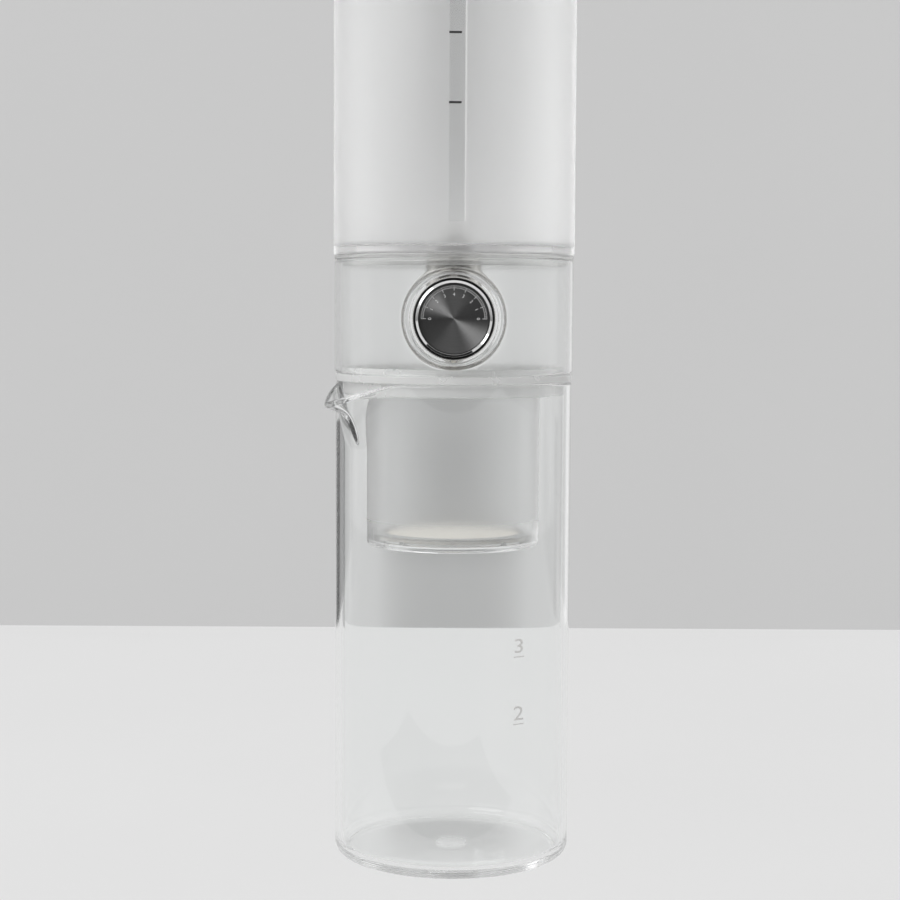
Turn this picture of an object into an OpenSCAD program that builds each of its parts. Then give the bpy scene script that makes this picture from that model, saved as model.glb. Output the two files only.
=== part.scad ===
// Slow-drip cold brew coffee maker. A frosted water tank with a drip valve stands on a clear collar,
// over a frosted coffee chamber that hangs in the mouth of a clear glass carafe with a pulled spout.
// Millimetres. +Z is up, the knob faces -Y, and the origin is the centre of the carafe's base.

/* [Carafe] */
// Outer diameter of the carafe
carafe_d = 84.6; // [80:0.2:90]
// Height of the carafe's rim above the table
carafe_h = 171; // [150:1:200]
// Thickness of the carafe's wall
carafe_wall = 2.4; // [1.8:0.1:3]
// Thickness of the carafe's floor
carafe_floor = 2.8; // [2:0.1:5]
// Radius of the outer corner round the base
base_round = 4; // [2:0.5:6]
// Radius of the inner corner round the floor
floor_round = 3.5; // [2:0.5:6]
// Radius of the shallow lens in the middle of the floor
lens_r = 5.5; // [3:0.5:10]
// Rise of the lens above the floor
lens_rise = 0.8; // [0.3:0.1:1.5]

/* [Spout] */
// Direction of the spout, in degrees to the left of the knob
spout_turn = 52; // [20:1:90]
// How far the spout's lip stands out from the wall
spout_reach = 12.4; // [6:0.2:16]
// Half of the angle of rim that is pulled into the spout
spout_half = 28; // [18:1:36]
// Height of wall that the spout takes up below the rim
spout_depth = 23; // [16:1:32]
// How far the lip dips below the rim
spout_dip = 5; // [2:0.2:9]

/* [Coffee chamber] */
// Outer diameter of the coffee chamber
chamber_d = 62; // [54:0.5:66]
// Thickness of the chamber's wall
chamber_wall = 2.2; // [1.6:0.1:3]
// Overall height of the chamber
chamber_h = 61.5; // [45:0.5:90]
// Width of the flange that the chamber hangs by
flange_width = 4; // [3:0.5:4.5]
// Thickness of the flange
flange_t = 2; // [1.5:0.1:2.4]
// Width of the ledge under the filter
ledge_width = 3.3; // [2.5:0.1:5]
// Thickness of the ledge
ledge_t = 1.8; // [1.4:0.1:3]

/* [Chamber seal] */
// Thickness of the seal's flange, between the carafe's rim and the collar
seal_flange = 2.8; // [2.6:0.1:4]
// Depth of the seal's plug inside the carafe's mouth
seal_plug = 4.8; // [3:0.2:10]
// Height of the lip that centres the collar
seal_lip = 2.2; // [1.5:0.1:4]
// Width of that lip
lip_width = 2.4; // [1.6:0.1:4]

/* [Filter] */
// Thickness of the filter disc
filter_t = 1.3; // [1:0.1:3]
// Width of the filter ring's hold on the disc
filter_hold = 1.8; // [1:0.1:2.4]
// Thickness of each lip of the filter ring
filter_lip = 0.8; // [0.6:0.1:1.5]
// Width of the filter ring outside the visible disc
filter_band = 4.5; // [4:0.1:7]
// Number of drain notches round the filter ring
notches = 10; // [6:1:16]
// Radius of each drain notch
notch_r = 0.9; // [0.5:0.1:1.2]

/* [Collar] */
// How much wider the collar is than the carafe
collar_step = 0.8; // [0:0.1:2]
// Height of the collar
collar_h = 40.2; // [38:0.2:60]
// Thickness of the collar's wall
collar_wall = 2.4; // [1.8:0.1:3]
// Radius of the hole for the knob
hole_r = 14.9; // [14.6:0.1:15.6]
// Width of the melted ring round the hole
ring_width = 2.1; // [1.4:0.1:2.8]
// How far the ring stands proud of the collar in front
ring_proud = 1.1; // [0.5:0.1:2]

/* [Collar gasket] */
// Thickness of the gasket between the collar and the tank
gasket_t = 1.4; // [1:0.1:3]
// Depth of the gasket's skirt inside the collar
gasket_skirt = 2.5; // [1.5:0.1:4]
// Width of the skirt
skirt_width = 1.8; // [1.2:0.1:3]

/* [Water tank] */
// How much wider the tank is than the collar
tank_step = 0.6; // [0:0.1:2]
// Overall height of the tank
tank_h = 132.6; // [100:0.2:170]
// Thickness of the tank's wall
tank_wall = 2.4; // [1.8:0.1:3]
// Thickness of the tank's floor
tank_floor = 2.6; // [2:0.1:4]
// Radius of the tank's bottom corner
tank_round = 3; // [2:0.5:3.5]

/* [Lid] */
// Thickness of the lid's plate
lid_t = 3; // [2:0.1:5]
// Depth of the lid's plug inside the tank
lid_plug = 8; // [6:0.5:12]
// Width of the silicone ring round the plug
lid_ring = 3; // [2:0.1:4]
// Radius of the lid's grip
grip_r = 9; // [7:0.5:14]
// Height of the grip above the plate
grip_h = 12; // [9:0.5:20]
// Radius of the air hole through the lid
vent_r = 1.5; // [1:0.1:2]
// Distance of the air hole from the lid's centre
vent_x = 22; // [18:1:28]

/* [Valve] */
// Radius of the valve's barrel
barrel_r = 10; // [9:0.5:12]
// Height of the barrel
barrel_h = 32.4; // [30:0.2:36]
// Drop from the tank's underside to the knob's axis
knob_drop = 22; // [20:0.2:24]
// Radius of the threaded shank through the tank's floor
shank_r = 6; // [5.5:0.5:7]
// Radius of the water passage
passage_r = 1.5; // [1:0.1:2]
// Radius of the turning plug
plug_r = 5.55; // [5:0.05:6]
// How far the plug reaches behind the passage
plug_back = 6.5; // [5:0.5:7]
// How far the plug reaches in front of the passage
plug_front = 10.5; // [9:0.5:12]
// Radius of the boss round the plug
boss_r = 8; // [7.8:0.1:9]
// Length of the boss from the barrel's axis
boss_len = 16; // [15:0.5:18]
// Radius of the stem between the plug and the knob
stem_r = 3; // [2.5:0.1:3.2]
// Radius of an O-ring's section on the plug
oring_r = 0.8; // [0.6:0.05:0.9]
// Thickness of the flat washer under the tank
washer_t = 1.5; // [1:0.1:2]
// Radius of that washer
washer_r = 10.8; // [10:0.1:12]
// Thickness of the washer above the tank's floor
top_washer_t = 1.2; // [0.8:0.1:2]
// Width of the inlet nut across its flats
nut_flats = 18; // [16:0.5:20]
// Thickness of the inlet nut
nut_t = 3.2; // [2.5:0.1:5]
// Thickness of the plug's thrust washer
thrust_t = 0.5; // [0.4:0.1:1]
// Radius of the bonnet nut's head
bonnet_r = 8.5; // [8:0.1:9.5]
// Thickness of the bonnet nut's head
bonnet_head = 5; // [4:0.5:7]
// Radius of the bonnet nut's thread
bonnet_thread_r = 6.75; // [6.5:0.05:7]
// Radius of the nozzle's thread
nozzle_thread_r = 3.45; // [3:0.05:4]
// Depth of the nozzle's thread in the barrel
nozzle_thread = 4; // [3:0.2:4.2]
// Radius of the nozzle's head
nozzle_r = 5.5; // [5:0.1:7]
// Length of the nozzle below the barrel
nozzle_len = 4.5; // [3:0.1:5]
// Radius of the strainer's cap
strainer_r = 5.6; // [5:0.1:6]
// Height of the strainer's cap
strainer_h = 4; // [3:0.5:8]
// Number of slots in the strainer
strainer_slots = 8; // [6:1:10]

/* [Knob] */
// Radius of the knurled knob over its teeth
knob_r = 14.2; // [13.8:0.1:14.4]
// Number of teeth in the knurl
knurl_teeth = 108; // [60:1:120]
// Depth of the knurl's teeth
knurl_depth = 0.35; // [0.2:0.05:0.5]
// How far the knob's back sits behind the front of the collar
knob_sink = 1.7; // [1:0.1:3]
// Length of the knob's body
knob_len = 8.8; // [8:0.1:12]
// Width of the dark chamfer round the knob's front
knob_chamfer = 0.9; // [0.5:0.1:1.2]
// Radius of the bezel
bezel_r = 12.8; // [12.4:0.1:13]
// Width of the bezel
bezel_width = 0.85; // [0.6:0.05:1.5]
// How far the bezel stands out of the knob's front
bezel_proud = 0.9; // [0.4:0.1:1.5]
// Depth of the pocket for the bezel and the dial
pocket_depth = 1.6; // [1.2:0.1:2.4]
// Thickness of the dial plate
dial_t = 0.9; // [0.6:0.1:1.2]
// Radius of the grub screw
grub_r = 1.5; // [1.2:0.1:2]
// Length of the grub screw
grub_len = 5; // [4:0.5:7]

/* [Clearances] */
// Gap round a glass or silicone piece that lifts out
lift_gap = 0.3; // [0.2:0.05:0.6]
// Gap round the plug and its stem, which turn
run_gap = 0.05; // [0.03:0.01:0.09]
// Gap round a screwed or pushed-in piece
screw_gap = 0.05; // [0.03:0.01:0.1]

/* [Hidden] */
$fn = 72;
ARC = 6; // steps in a rounded corner
SIDE_COLUMNS = 48; // columns of the wall outside the spout
SPOUT_COLUMNS = 32; // columns across the spout
SPOUT_ROWS = 12; // rows up the spout's wall
PINCH = 1.7; // how sharply the lip comes to its point
GRIP_UNDER = 60; // how far the rounding of the lid's grip goes round underneath
NOZZLE_SEAL = 0.5; // section radius of the nozzle's O-ring
clear_glass = [0.86, 0.90, 0.90, 0.35];
frosted_glass = [0.86, 0.87, 0.88, 0.75];
silicone = [0.90, 0.91, 0.90, 0.6];
steel = "silver";

carafe_r = carafe_d / 2;
mouth_r = carafe_r - carafe_wall;
plain_z = carafe_h - spout_depth - carafe_wall; // the wall is plain below this height
plate_r = mouth_r - floor_round; // the floor is flat out to here
spout_foot = carafe_h - spout_depth;
chamber_r = chamber_d / 2;
chamber_in = chamber_r - chamber_wall;
flange_r = chamber_r + flange_width;
collar_z = carafe_h + seal_flange;
chamber_top = collar_z - lift_gap / 2; // just under the collar's seat
chamber_z = chamber_top - chamber_h;
collar_r = carafe_r + collar_step / 2;
collar_in = collar_r - collar_wall;
gasket_z = collar_z + collar_h;
tank_z = gasket_z + gasket_t;
tank_r = collar_r + tank_step / 2;
tank_in = tank_r - tank_wall;
inside_z = tank_z + tank_floor;
rim_z = tank_z + tank_h;
knob_z = tank_z - knob_drop;
barrel_top = tank_z - washer_t;
barrel_z = barrel_top - barrel_h;
nut_z = inside_z + top_washer_t;
shank_top = nut_z + nut_t + screw_gap;
plug_bore = plug_r + run_gap;
stem_bore = stem_r + run_gap;
bonnet_z = plug_front + thrust_t;
socket_depth = nozzle_thread + 2 * NOZZLE_SEAL;
knob_back = collar_r - knob_sink;
knob_front = knob_back + knob_len;
pocket_z = knob_front - pocket_depth;
stem_len = knob_back + knob_len / 2;
flat_cut = 0.6 * stem_r; // distance from the stem's axis to its flat
grub_z = stem_len - 1.5 * grub_r;

// Points of an arc round [x, y], from angle a to angle b
function arc(x, y, r, a, b) =
    [for (i = [0 : ARC]) let (t = a + (b - a) * i / ARC) [x + r * cos(t), y + r * sin(t)]];

// Turns a piece made along +Z so that it runs forward from the valve, along the knob's axis
module forward() {
    translate([0, 0, knob_z]) rotate([90, 0, 0]) children();
}

// A plain ring, from z to z + h
module ring(outer, inner, z, h) {
    translate([0, 0, z]) rotate_extrude() translate([inner, 0]) square([outer - inner, h]);
}

// A round ring of section radius r, whose middle lies on a circle
module torus(middle, r, z) {
    translate([0, 0, z]) rotate_extrude() translate([middle, 0]) circle(r, $fn = 24);
}

// ---- Carafe ----
// Share of the spout's pull at an angle off its middle, for a pull that is half wide
function pull(angle, half) = abs(angle) < half ? pow(1 - abs(angle) / half, PINCH) : 0;

// Share of the reach at a share v of the spout's height: a gentle swell that turns sharply out at
// the lip, while the pulled width opens from the foot to the lip
function swell(angle, v) =
    (0.55 * pow(v, 1.4) + 0.45 * pow(v, 9)) * pull(angle, spout_half * (0.3 + 0.7 * v));

// Lean of the wall at the lip
function lip_lean(angle) =
    atan(spout_reach * (swell(angle, 1) - swell(angle, 0.99)) / 0.01 / (spout_depth - carafe_wall));

// Height at which the outer face of the wall ends, under the rounded rim
function wall_end(angle) =
    carafe_h - carafe_wall / 2 * (1 + sin(lip_lean(angle))) - spout_dip * pull(angle, spout_half);

// Radius of the wall's outer face
function wall_r(angle, z) =
    carafe_r + spout_reach * swell(angle, max(0, min(1, (z - spout_foot) / (wall_end(angle) - spout_foot))));

// Slope of the wall outwards with height
function wall_slope(angle, z) = atan((wall_r(angle, z) - wall_r(angle, z - 0.1)) / 0.1);

// One column of the glass, as [r, z]: round the base's corner, up the outer face, over the rounded
// edge, down the inner face and round to the floor. Flat faces close it inside and underneath.
function wall_column(angle) =
    let (
        end = wall_end(angle),
        heights = [for (k = [0 : SPOUT_ROWS]) end - (end - plain_z) * pow(1 - k / SPOUT_ROWS, 1.6)],
        outer = [for (z = heights) [wall_r(angle, z), z]],
        slope = wall_slope(angle, end),
        inner = [for (z = heights) let (s = wall_slope(angle, z))
            [wall_r(angle, z) - carafe_wall * cos(s), z + carafe_wall * sin(s)]],
        middle = (outer[SPOUT_ROWS] + inner[SPOUT_ROWS]) / 2,
        edge = [for (a = [36 : 36 : 144]) middle + carafe_wall / 2 * [cos(a - slope), sin(a - slope)]]
    )
    concat(
        [[plate_r, 0]],
        arc(carafe_r - base_round, base_round, base_round, -90, 0),
        outer,
        edge,
        [for (k = [SPOUT_ROWS : -1 : 0]) inner[k]],
        arc(mouth_r - floor_round, carafe_floor + floor_round, floor_round, 0, -90)
    );

// Angles of the columns, finer across the spout
wall_angles = concat(
    [for (i = [0 : SPOUT_COLUMNS - 1]) -spout_half + 2 * spout_half * i / SPOUT_COLUMNS],
    [for (i = [0 : SIDE_COLUMNS - 1]) spout_half + (360 - 2 * spout_half) * i / SIDE_COLUMNS]
);

module blown_glass() {
    columns = [for (a = wall_angles) wall_column(a > 180 ? a - 360 : a)];
    rows = len(columns[0]);
    count = len(columns);
    points = [for (j = [0 : count - 1]) for (p = columns[j])
        [p[0] * cos(wall_angles[j]), p[0] * sin(wall_angles[j]), p[1]]];
    sides = [for (j = [0 : count - 1]) for (i = [0 : rows - 2])
        let (a = j * rows + i, b = (j + 1) % count * rows + i)
        for (f = [0, 1]) f == 0 ? [a, a + 1, b + 1] : [a, b + 1, b]];
    bottom = [for (j = [0 : count - 1]) j * rows];
    inside = [for (j = [count - 1 : -1 : 0]) j * rows + rows - 1];
    polyhedron(points, concat(sides, [bottom, inside]));
}

module carafe() {
    color(clear_glass) {
        rotate([0, 0, 270 - spout_turn]) blown_glass();
        rotate_extrude() polygon([
            [0, carafe_floor / 2], [lens_r, carafe_floor / 2], [lens_r, carafe_floor],
            [lens_r / 2, carafe_floor + lens_rise * 0.75], [0, carafe_floor + lens_rise]
        ]);
    }
}

// ---- Coffee chamber, its seal and its filter ----
module coffee_chamber() {
    edge = flange_t / 2;
    corner = chamber_wall * 0.7;
    color(frosted_glass) translate([0, 0, chamber_z]) rotate_extrude() polygon(concat(
        [[chamber_in - ledge_width, 0]],
        arc(chamber_r - corner, corner, corner, -90, 0),
        [[chamber_r, chamber_h - flange_t]],
        arc(flange_r - edge, chamber_h - edge, edge, -90, 90),
        [[chamber_in, chamber_h], [chamber_in, ledge_t], [chamber_in - ledge_width, ledge_t]]
    ));
}

module chamber_seal() {
    plug_out = mouth_r - lift_gap;
    lip_out = collar_in - lift_gap;
    neck = chamber_r + screw_gap;
    pocket = flange_r + 2 * screw_gap;
    seat = chamber_top - flange_t;
    color(silicone) rotate_extrude() polygon(concat(
        [[neck, carafe_h - seal_plug], [plug_out - 1, carafe_h - seal_plug]],
        [[plug_out, carafe_h - seal_plug + 1], [plug_out, carafe_h]],
        [[carafe_r, carafe_h], [carafe_r, collar_z], [lip_out, collar_z]],
        [[lip_out, collar_z + seal_lip], [lip_out - lip_width, collar_z + seal_lip]],
        [[lip_out - lip_width, collar_z], [pocket, collar_z], [pocket, seat], [neck, seat]]
    ));
}

filter_z = chamber_z + ledge_t;
filter_out = chamber_in - lift_gap / 2;
window_r = filter_out - filter_band;
disc_r = window_r + filter_hold;

module filter_ring() {
    height = 2 * filter_lip + filter_t;
    color(silicone) difference() {
        translate([0, 0, filter_z]) rotate_extrude() polygon([
            [window_r, 0], [filter_out, 0], [filter_out, height], [window_r, height],
            [window_r, height - filter_lip], [disc_r, height - filter_lip],
            [disc_r, filter_lip], [window_r, filter_lip]
        ]);
        for (i = [0 : notches - 1])
            rotate([0, 0, 270 + i * 360 / notches])
                translate([filter_out, 0, filter_z - 1])
                    cylinder(r = notch_r, h = filter_lip + 1, $fn = 24);
    }
}

module filter_disc() {
    color("wheat") translate([0, 0, filter_z + filter_lip])
        cylinder(r = disc_r - screw_gap, h = filter_t);
}

// ---- Tank, collar and lid ----
module water_tank() {
    edge = tank_wall / 2;
    corner = tank_round - tank_wall / 2;
    color(frosted_glass) translate([0, 0, tank_z]) rotate_extrude() polygon(concat(
        [[shank_r + lift_gap, 0]],
        arc(tank_r - tank_round, tank_round, tank_round, -90, 0),
        arc(tank_r - edge, tank_h - edge, edge, 0, 180),
        arc(tank_in - corner, tank_floor + corner, corner, 0, -90),
        [[shank_r + lift_gap, tank_floor]]
    ));
}

module collar() {
    edge = collar_wall / 2;
    ring_out = hole_r + ring_width;
    ring_front = collar_r + ring_proud;
    ring_start = collar_in - ring_out * ring_out / collar_in; // well inside the wall at the ring's sides
    color(clear_glass) difference() {
        union() {
            translate([0, 0, collar_z]) rotate_extrude() polygon(concat(
                [[collar_in, 0]],
                arc(collar_r - edge, edge, edge, -90, 0),
                arc(collar_r - edge, collar_h - edge, edge, 0, 90),
                [[collar_in, collar_h]]
            ));
            forward() rotate_extrude() polygon(concat(
                [[hole_r, ring_start], [ring_out, ring_start]],
                arc(hole_r + ring_width / 2, ring_front - ring_width / 2, ring_width / 2, 0, 180)
            ));
        }
        translate([0, 0, collar_z - 1]) cylinder(r = collar_in, h = collar_h + 2);
        forward() cylinder(r = hole_r, h = ring_front + 1);
    }
}

module collar_gasket() {
    skirt_out = collar_in - lift_gap;
    color(silicone) rotate_extrude() polygon([
        [skirt_out - skirt_width, gasket_z - gasket_skirt], [skirt_out, gasket_z - gasket_skirt],
        [skirt_out, gasket_z], [collar_r, gasket_z], [collar_r, tank_z], [skirt_out - skirt_width, tank_z]
    ]);
}

lid_core = tank_in - lift_gap - lid_ring;

module lid() {
    edge = lid_t / 2;
    grip_edge = 2.5;
    neck = grip_r * 0.6;
    color(clear_glass) difference() {
        translate([0, 0, rim_z]) rotate_extrude() polygon(concat(
            [[0, -lid_plug], [lid_core, -lid_plug], [lid_core, 0]],
            arc(tank_r - edge, edge, edge, -90, 90),
            [[neck, lid_t], [neck, lid_t + grip_h / 3]],
            arc(grip_r - grip_edge, lid_t + grip_h - grip_edge - 1, grip_edge, -GRIP_UNDER, 90),
            [[0, lid_t + grip_h]]
        ));
        translate([vent_x, 0, rim_z - lid_plug - 1]) cylinder(r = vent_r, h = lid_plug + lid_t + 2);
    }
}

module lid_seal() {
    outer = tank_in - lift_gap;
    inner = lid_core + screw_gap;
    fin = 0.8;
    color(silicone) rotate_extrude() polygon([
        [inner, rim_z - lid_plug], [outer - fin, rim_z - lid_plug],
        [outer, rim_z - lid_plug * 0.7], [outer - fin, rim_z - lid_plug * 0.5],
        [outer, rim_z - lid_plug * 0.2], [outer - fin, rim_z], [inner, rim_z]
    ]);
}

// ---- Drip valve ----
module valve_body() {
    chamfer = 0.8;
    strainer_bore = strainer_r * 0.6 + screw_gap;
    color(steel) difference() {
        union() {
            rotate_extrude() polygon([
                [0, barrel_z], [barrel_r - chamfer, barrel_z], [barrel_r, barrel_z + chamfer],
                [barrel_r, barrel_top - chamfer], [barrel_r - chamfer, barrel_top],
                [shank_r, barrel_top], [shank_r, shank_top], [0, shank_top]
            ]);
            forward() cylinder(r = boss_r, h = boss_len);
        }
        translate([0, 0, barrel_z - 1]) cylinder(r = passage_r, h = shank_top - barrel_z + 2);
        translate([0, 0, barrel_z - 1]) cylinder(r = nozzle_thread_r + screw_gap, h = socket_depth + 1);
        translate([0, 0, shank_top - nut_t]) cylinder(r = strainer_bore, h = nut_t + 1);
        forward() {
            translate([0, 0, -plug_back - run_gap]) cylinder(r = plug_bore, h = plug_back + boss_len + 1);
            translate([0, 0, bonnet_z]) cylinder(r = bonnet_thread_r + screw_gap, h = boss_len);
        }
    }
}

module lower_washer() {
    color(silicone) ring(washer_r, shank_r + screw_gap, barrel_top, washer_t);
}

module upper_washer() {
    color(silicone) ring(nut_flats / 2, shank_r + screw_gap, inside_z, top_washer_t);
}

module inlet_nut() {
    color(steel) difference() {
        translate([0, 0, nut_z]) cylinder(r = nut_flats / sqrt(3), h = nut_t, $fn = 6);
        translate([0, 0, nut_z - 1]) cylinder(r = shank_r + screw_gap, h = nut_t + 2);
    }
}

module inlet_strainer() {
    spigot = strainer_r * 0.6;
    skin = 0.6;
    slot = 1.2;
    color(steel) translate([0, 0, shank_top]) difference() {
        union() {
            translate([0, 0, skin - nut_t]) cylinder(r = spigot, h = nut_t);
            rotate_extrude() polygon([
                [0, 0], [strainer_r, 0], [strainer_r, strainer_h - 1], [strainer_r - 1, strainer_h], [0, strainer_h]
            ]);
        }
        translate([0, 0, skin]) cylinder(r = strainer_r - skin, h = strainer_h - 2 * skin);
        translate([0, 0, -nut_t]) cylinder(r = spigot - skin, h = nut_t + 2 * skin);
        for (i = [0 : strainer_slots - 1])
            rotate([0, 0, (i + 0.5) * 360 / strainer_slots])
                translate([strainer_r / 2, -slot / 2, 2 * skin])
                    cube([strainer_r, slot, strainer_h - 4 * skin]);
    }
}

// O-rings either side of the water passage, as distances forward of it
oring_places = [-plug_back + 2 * oring_r, plug_front - 3 * oring_r];

module valve_plug() {
    groove_in = plug_r - 2 * oring_r;
    color(steel) forward() difference() {
        union() {
            translate([0, 0, -plug_back]) cylinder(r = plug_r, h = plug_back + plug_front);
            cylinder(r = stem_r, h = stem_len);
        }
        rotate([90, 0, 0]) cylinder(r = passage_r, h = 4 * plug_r, center = true);
        for (z = oring_places)
            ring(plug_r + 1, groove_in, z - 1.1 * oring_r, 2.2 * oring_r);
        translate([flat_cut, -stem_r, knob_back]) cube([stem_r, 2 * stem_r, knob_len]);
    }
}

module plug_o_rings() {
    color("dimgray") forward() for (z = oring_places) torus(plug_r - oring_r, oring_r, z);
}

module thrust_washer() {
    color("white") forward() ring(plug_r - run_gap, stem_bore, plug_front, thrust_t);
}

module bonnet_nut() {
    flats = 2 * bonnet_r * 0.9;
    color(steel) forward() difference() {
        union() {
            translate([0, 0, bonnet_z]) cylinder(r = bonnet_thread_r, h = boss_len - bonnet_z + 1);
            translate([0, 0, boss_len]) intersection() {
                cylinder(r = bonnet_r, h = bonnet_head);
                cylinder(r = flats / sqrt(3), h = bonnet_head, $fn = 6);
            }
        }
        cylinder(r = stem_bore, h = boss_len + bonnet_head + 1);
    }
}

module drip_nozzle() {
    tip_r = passage_r + 0.5;
    shoulder = nozzle_len * 0.4;
    color(steel) translate([0, 0, barrel_z]) rotate_extrude() polygon([
        [passage_r - 0.5, -nozzle_len], [tip_r, -nozzle_len], [nozzle_r, -shoulder],
        [nozzle_r, 0], [nozzle_thread_r, 0], [nozzle_thread_r, nozzle_thread],
        [passage_r, nozzle_thread], [passage_r, 0]
    ]);
}

module nozzle_o_ring() {
    color("dimgray") torus(nozzle_thread_r - 2 * NOZZLE_SEAL, NOZZLE_SEAL, barrel_z + nozzle_thread + NOZZLE_SEAL);
}

// ---- Knob ----
module knob_body() {
    inner_tooth = knob_r - knurl_depth;
    core_r = inner_tooth - knurl_depth / 2;
    color("dimgray") forward() difference() {
        union() {
            translate([0, 0, knob_back]) linear_extrude(knob_len - knob_chamfer) polygon([
                for (i = [0 : 2 * knurl_teeth - 1])
                    let (r = i % 2 == 0 ? knob_r : inner_tooth, a = i * 180 / knurl_teeth)
                    [r * cos(a), r * sin(a)]
            ]);
            rotate_extrude() polygon([
                [0, knob_back + knob_chamfer], [core_r, knob_back + knob_chamfer],
                [core_r, knob_front - knob_chamfer], [core_r - knob_chamfer / 2, knob_front],
                [0, knob_front]
            ]);
        }
        translate([0, 0, pocket_z]) cylinder(r = bezel_r + screw_gap, h = pocket_depth + 1);
        difference() {
            translate([0, 0, knob_back - 1]) cylinder(r = stem_r + screw_gap, h = stem_len - knob_back + 1 + screw_gap);
            translate([flat_cut + screw_gap, -knob_r, knob_back - 2]) cube([knob_r, 2 * knob_r, knob_len]);
        }
        translate([0, 0, grub_z]) rotate([0, 90, 0]) cylinder(r = grub_r + screw_gap, h = knob_r + 1);
    }
}

module knob_bezel() {
    inner = bezel_r - bezel_width;
    crown = pocket_depth + bezel_proud;
    half = bezel_width / 2;
    color("gainsboro") forward() translate([0, 0, pocket_z]) rotate_extrude() polygon(concat(
        [[inner, 0], [bezel_r, 0]],
        arc(inner + half, crown - half, half, 0, 180)
    ));
}

module dial_plate() {
    color("dimgray") forward() translate([0, 0, pocket_z])
        cylinder(r = bezel_r - bezel_width - screw_gap, h = dial_t);
}

module knob_screw() {
    color("dimgray") forward() translate([0, 0, grub_z]) rotate([0, 90, 0])
        translate([0, 0, flat_cut]) cylinder(r = grub_r, h = grub_len);
}

carafe();
coffee_chamber();
chamber_seal();
filter_ring();
filter_disc();
water_tank();
collar();
collar_gasket();
lid();
lid_seal();
valve_body();
lower_washer();
upper_washer();
inlet_nut();
inlet_strainer();
valve_plug();
plug_o_rings();
thrust_washer();
bonnet_nut();
drip_nozzle();
nozzle_o_ring();
knob_body();
knob_bezel();
dial_plate();
knob_screw();
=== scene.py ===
"""Looks of a slow-drip cold brew tower: frosted tank, drip valve, clear collar, coffee chamber and carafe.

Sizes are in millimetres and meshes are made in metres. +Z is up and the knob faces -Y.
"""

import math

import bmesh
import bpy
import numpy as np
from mathutils import Matrix, Vector


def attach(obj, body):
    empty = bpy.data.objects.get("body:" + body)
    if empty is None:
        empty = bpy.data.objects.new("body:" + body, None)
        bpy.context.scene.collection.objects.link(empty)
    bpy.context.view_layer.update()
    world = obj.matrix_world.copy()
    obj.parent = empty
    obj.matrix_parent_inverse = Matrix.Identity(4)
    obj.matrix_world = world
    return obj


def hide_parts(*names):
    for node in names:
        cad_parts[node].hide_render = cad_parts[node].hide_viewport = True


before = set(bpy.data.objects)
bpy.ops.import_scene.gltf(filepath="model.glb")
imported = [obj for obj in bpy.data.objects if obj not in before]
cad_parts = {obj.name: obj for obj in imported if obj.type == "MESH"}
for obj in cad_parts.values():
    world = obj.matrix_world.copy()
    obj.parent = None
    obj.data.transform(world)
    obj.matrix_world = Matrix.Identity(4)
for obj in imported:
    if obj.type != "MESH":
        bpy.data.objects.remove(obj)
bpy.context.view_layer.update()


# ---- Carafe ----
# A thin borosilicate beaker, blown as a plain tube on a flat base. The spout was pulled out of the hot rim
# with a rod, so it has a crease down its middle, and a small lens is left where the glass was gathered.

CARAFE_R, CARAFE_H, CARAFE_WALL, CARAFE_FLOOR = 42.3, 170.97, 2.4, 2.8
BASE_ROUND, FLOOR_ROUND, LENS_R, LENS_RISE = 4.0, 3.5, 5.5, 0.8
SPOUT_TURN, SPOUT_REACH, SPOUT_HALF, SPOUT_DEPTH, SPOUT_DIP = 52.0, 12.4, 28.0, 23.0, 6.2
SPOUT_FOOT = CARAFE_H - SPOUT_DEPTH
PINCH = 1.7
CREASE = 1.0  # degrees over which the crease is rounded
GLASS_IOR = 1.474
BESIDE = 0.6  # from the end of a rounding to the next ring of points
WALL_LEVELS = (50, 100, 140)


def values(parts, what, wide=3, kind=np.float32):
    """One property of all of a mesh's points, corners or faces, in rows of that many numbers."""
    found = np.zeros(len(parts) * wide, kind)
    parts.foreach_get(what, found)
    return found.reshape(-1, wide)


def put(name, data):
    """An object in the scene of that mesh, curve, lamp or camera."""
    piece = bpy.data.objects.new(name, data)
    bpy.context.scene.collection.objects.link(piece)
    return piece


def close_up(mesh, near):
    """Makes points that lie nearer than that, in metres, into one, and turns the faces outwards."""
    shell = bmesh.new()
    shell.from_mesh(mesh)
    bmesh.ops.remove_doubles(shell, verts=shell.verts, dist=near)
    bmesh.ops.recalc_face_normals(shell, faces=shell.faces)
    shell.to_mesh(mesh)
    shell.free()


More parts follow.
